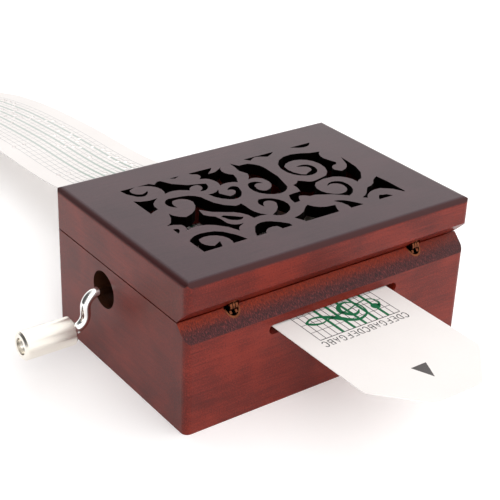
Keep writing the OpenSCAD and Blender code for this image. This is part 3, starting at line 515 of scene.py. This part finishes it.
class Ink:
    """Thin closed slabs of ink on the card's upper side, gathered into one mesh."""

    def __init__(self, lift=LIFT):
        self.verts, self.faces, self.lift = [], [], lift

    def ribbon(self, left, right):
        """A band between two lines of the same number of points."""
        first = len(self.verts)
        n = len(left)
        for a, b in zip(left, right):
            for p in (a, b):
                z = profile_height(p[1], TABLE) + HALF_T
                self.verts += [(p[0], p[1], z + self.lift), (p[0], p[1], z - self.lift)]
        for i in range(n - 1):
            k = first + 4 * i
            self.faces += [(k, k + 2, k + 6, k + 4), (k + 1, k + 5, k + 7, k + 3),
                           (k, k + 4, k + 5, k + 1), (k + 2, k + 3, k + 7, k + 6)]
        e = first + 4 * (n - 1)
        self.faces += [(first, first + 1, first + 3, first + 2), (e, e + 2, e + 3, e + 1)]

    def along(self, x, y0, y1, width):
        ys = [y0] + [y for y in KNOTS if y0 + 1e-6 < y < y1 - 1e-6] + [y1]
        self.ribbon([(x - width / 2, y) for y in ys], [(x + width / 2, y) for y in ys])

    def across(self, y, x0, x1, width):
        self.ribbon([(x0, y + width / 2), (x1, y + width / 2)], [(x0, y - width / 2), (x1, y - width / 2)])

    def stroke(self, points, widths):
        """A pen stroke through the points, with its own width at each."""
        left, right = [], []
        for i, p in enumerate(points):
            a, b = points[max(i - 1, 0)], points[min(i + 1, len(points) - 1)]
            dx, dy = b[0] - a[0], b[1] - a[1]
            size = math.hypot(dx, dy)
            w = widths[i] / 2
            left.append((p[0] - dy / size * w, p[1] + dx / size * w))
            right.append((p[0] + dy / size * w, p[1] - dx / size * w))
        self.ribbon(left, right)

    def disc(self, x, y, r, n=28):
        turn = [math.pi * k / n for k in range(n + 1)]
        self.ribbon([(x - r * math.cos(a), y + r * math.sin(a) + 1e-6) for a in turn],
                    [(x - r * math.cos(a), y - r * math.sin(a) - 1e-6) for a in turn])

    def piece(self, name, material):
        obj = new_piece(name, self.verts, self.faces, material)
        bm = bmesh.new()
        bm.from_mesh(obj.data)
        bmesh.ops.recalc_face_normals(bm, faces=bm.faces)
        bm.to_mesh(obj.data)
        bm.free()


def holes_on(line, width):
    """Stretches of a lengthwise line of that width that its own holes take."""
    reach = math.sqrt(HOLE_R**2 - (width / 2)**2) + 0.02 * MM
    return [(y - reach, y + reach) for i, y in HOLES if i == line]


def holes_at(y):
    """Stretches of the cross line at y that holes take."""
    out = []
    for i, hy in HOLES:
        if abs(hy - y) < HOLE_R + 0.1 * MM:
            reach = math.sqrt(max(HOLE_R**2 - (hy - y)**2, 0)) + 0.08 * MM
            out.append((line_x(i) - reach, line_x(i) + reach))
    return out


def catmull(rows, parts=6):
    """Rows of numbers, with a smooth run of parts between each two."""
    out = []
    for i in range(len(rows) - 1):
        p = [rows[max(i - 1, 0)], rows[i], rows[i + 1], rows[min(i + 2, len(rows) - 1)]]
        for k in range(parts):
            t = k / parts
            out.append([0.5 * (2 * b + (c - a) * t + (2 * a - 5 * b + 4 * c - d) * t * t
                               + (3 * b - a - 3 * c + d) * t**3) for a, b, c, d in zip(*p)])
    return out + [list(rows[-1])]


END_Y = STRIP_HI.y - 3 * MM
THIN, THICK = 0.22 * MM, 0.92 * MM

grid = Ink()
for i in range(NOTES):
    if i not in STAVE:
        for a, b in gaps(GRID_Y, END_Y, holes_on(i, THIN)):
            grid.along(line_x(i), a, b, THIN)
y = GRID_Y
while y < END_Y:
    for a, b in gaps(line_x(0), line_x(NOTES - 1), holes_at(y)):
        grid.across(y, a, b, THIN * (1.3 if y == GRID_Y else 0.8))
    y += BEAT
grid.piece("strip_grid", INK_BLACK)

stave = Ink(LIFT * 1.5)
for i in STAVE:
    for a, b in gaps(GRID_Y, END_Y, holes_on(i, THICK)):
        stave.along(line_x(i), a, b, THICK)
stave.piece("strip_stave", INK_GREEN)

# Treble clef lying across the stave, in millimetres: from the strip's centre line, from the
# grid's front end, and the pen's width
CLEF = (
    (5.20, 7.00, 0.35), (3.95, 5.85, 0.80), (2.20, 5.60, 1.30), (0.70, 7.10, 1.50), (0.05, 9.10, 1.50),
    (1.10, 11.10, 1.30), (3.20, 12.10, 0.90), (5.45, 11.35, 0.60), (6.80, 9.35, 0.50), (6.95, 7.10, 0.50),
    (6.20, 4.70, 0.60), (4.20, 3.35, 0.80), (1.70, 2.95, 1.10), (-0.55, 4.10, 1.50), (-2.55, 6.10, 1.85),
    (-4.80, 8.20, 1.60), (-7.05, 9.60, 1.00), (-9.55, 10.00, 0.65), (-11.55, 9.10, 0.75),
    (-11.90, 8.30, 1.05), (-10.30, 7.10, 1.00), (-8.05, 6.60, 0.60), (-5.80, 7.20, 0.48),
    (-0.80, 7.85, 0.45), (3.20, 8.60, 0.45), (6.20, 9.50, 0.45), (10.20, 10.20, 0.45),
    (12.30, 9.10, 0.50), (12.60, 7.10, 0.55), (11.45, 5.60, 0.95))
clef = Ink(LIFT * 2)
pen = catmull(CLEF)
clef.stroke([(CENTRE_X + a * MM, GRID_Y + b * MM) for a, b, w in pen], [w * MM for a, b, w in pen])
clef.disc(CENTRE_X + 10.45 * MM, GRID_Y + 5.95 * MM, 1.45 * MM)
clef.piece("strip_clef", INK_GREEN)

# Note names of the fifteen lines, as strokes in a box one unit wide and two high
LETTERS = {
    "A": [((0, 0), (0.5, 2), (1, 0)), ((0.2, 0.7), (0.8, 0.7))],
    "B": [((0, 0), (0, 2), (0.8, 1.9), (0.8, 1.15), (0, 1.05), (0.95, 0.85), (0.95, 0.1), (0, 0))],
    "C": [((1, 1.6), (0.7, 2), (0.3, 2), (0, 1.5), (0, 0.5), (0.3, 0), (0.7, 0), (1, 0.4))],
    "D": [((0, 0), (0, 2), (0.6, 1.9), (1, 1.3), (1, 0.7), (0.6, 0.1), (0, 0))],
    "E": [((1, 2), (0, 2), (0, 0), (1, 0)), ((0, 1), (0.8, 1))],
    "F": [((1, 2), (0, 2), (0, 0)), ((0, 1), (0.8, 1))],
    "G": [((1, 1.6), (0.7, 2), (0.3, 2), (0, 1.5), (0, 0.5), (0.3, 0), (0.8, 0), (1, 0.3), (1, 0.9),
           (0.6, 0.9))],
}
LETTER_SIZE, LETTER_PEN = 1.25 * MM, 0.32 * MM
letters = Ink()
for i in range(NOTES):
    across, down = line_x(i) + 0.6 * MM, GRID_Y - 1.0 * MM
    for path in LETTERS["CDEFGAB"[(NOTES - 1 - i) % 7]]:
        # The letters face someone behind the case, so they stand upside down from the front.
        pts = [(across - a * LETTER_SIZE, down - b * LETTER_SIZE) for a, b in path]
        letters.stroke(pts, [LETTER_PEN] * len(pts))
letters.piece("strip_note_names", INK_BLACK)

arrow = Ink()
tip_y, base_y, half = GRID_Y - 29.4 * MM, GRID_Y - 23.2 * MM, 2.65 * MM
arrow.ribbon([(CENTRE_X - 0.3 * MM - half, base_y), (CENTRE_X - 0.31 * MM, tip_y)],
             [(CENTRE_X - 0.3 * MM + half, base_y), (CENTRE_X - 0.29 * MM, tip_y)])
arrow.piece("strip_arrow", INK_GREY)
build_card()


# ---------------------------------------------------------------- floor, light and camera
def stage_floor():
    size = 4.0
    mesh = bpy.data.meshes.new("floor")
    corners = [(-size, -size, 0), (size, -size, 0), (size, size, 0), (-size, size, 0)]
    mesh.from_pydata(corners, [], [(0, 1, 2, 3)])
    s = Shade("paper_floor", IOR=1.45, Specular_IOR_Level=0.1)
    haze = s.noise(s.pos, 0.004, 2.0)
    tint = s.ramp(haze, (0.3, (0.970, 0.965, 0.962)), (0.7, (0.980, 0.975, 0.972)))
    # The floor is a lit table: a faint glow of its own keeps the shadows on it light.
    s.put(s.surface.inputs["Emission Color"], (1.0, 0.97, 0.965, 1))
    s.put(s.surface.inputs["Emission Strength"], 0.12)
    mesh.materials.append(s.finish(Base_Color=tint, Roughness=s.math("MULTIPLY_ADD", haze, 0.05, 0.85)))
    obj = bpy.data.objects.new("floor", mesh)
    bpy.context.scene.collection.objects.link(obj)
    obj.location.z = -0.02 * MM


def area(name, towards, distance, size, power):
    """A square softbox that stands that way from the box and faces it."""
    light = bpy.data.lights.new(name, "AREA")
    light.shape = "RECTANGLE"
    light.size, light.size_y = size
    light.energy = power
    obj = bpy.data.objects.new(name, light)
    bpy.context.scene.collection.objects.link(obj)
    way = Vector(towards).normalized()
    target = Vector((0, 0, 0.03))
    obj.location = target + way * distance
    obj.rotation_euler = way.to_track_quat("Z", "Y").to_euler()


def studio_light(tree, strength, flag_way, flag_cos, flag_dark):
    """Even white light from all round, with a soft dark flag that way."""
    links, background = tree.links, tree.nodes["Background"]
    coord = tree.nodes.new("ShaderNodeTexCoord")
    dot = tree.nodes.new("ShaderNodeVectorMath")
    dot.operation = "DOT_PRODUCT"
    dot.inputs[1].default_value = Vector(flag_way).normalized()
    links.new(coord.outputs["Generated"], dot.inputs[0])
    level = tree.nodes.new("ShaderNodeMapRange")
    level.interpolation_type = "SMOOTHSTEP"
    for socket, value in zip(list(level.inputs)[1:5], (*flag_cos, strength, flag_dark)):
        socket.default_value = value
    links.new(dot.outputs["Value"], level.inputs["Value"])
    links.new(level.outputs[0], background.inputs["Strength"])
    background.inputs["Color"].default_value = (1.0, 0.99, 0.985, 1)


stage_floor()
world = bpy.data.worlds.new("studio")
bpy.context.scene.world = world
world.use_nodes = True
studio_light(world.node_tree, 1.52, (-0.85, 0.30, 0.42), (0.40, 0.92), 0.12)
area("key_front", (-0.38, -0.70, 0.60), 0.65, (0.30, 0.30), 1.0)

AZIMUTH, ELEVATION, ROLL = (math.radians(a) for a in (-37.043, 27.791, 2.354))
back = Vector((math.sin(AZIMUTH) * math.cos(ELEVATION), -math.cos(AZIMUTH) * math.cos(ELEVATION),
               math.sin(ELEVATION)))
level = Vector((math.cos(AZIMUTH), math.sin(AZIMUTH), 0))
upward = back.cross(level)
right = level * math.cos(ROLL) + upward * math.sin(ROLL)
upright = upward * math.cos(ROLL) - level * math.sin(ROLL)
EYE = Vector((-0.199485, -0.258651, 0.199067))
camera = bpy.data.cameras.new("camera")
camera.lens = 88.54
camera.sensor_width = 36
camera.clip_start = 0.02
camera.clip_end = 30
eye = bpy.data.objects.new("camera", camera)
bpy.context.scene.collection.objects.link(eye)
eye.matrix_world = Matrix((
    (right.x, upright.x, back.x, EYE.x),
    (right.y, upright.y, back.y, EYE.y),
    (right.z, upright.z, back.z, EYE.z),
    (0, 0, 0, 1)))
bpy.context.scene.camera = eye
bpy.context.scene.view_settings.view_transform = "Standard"
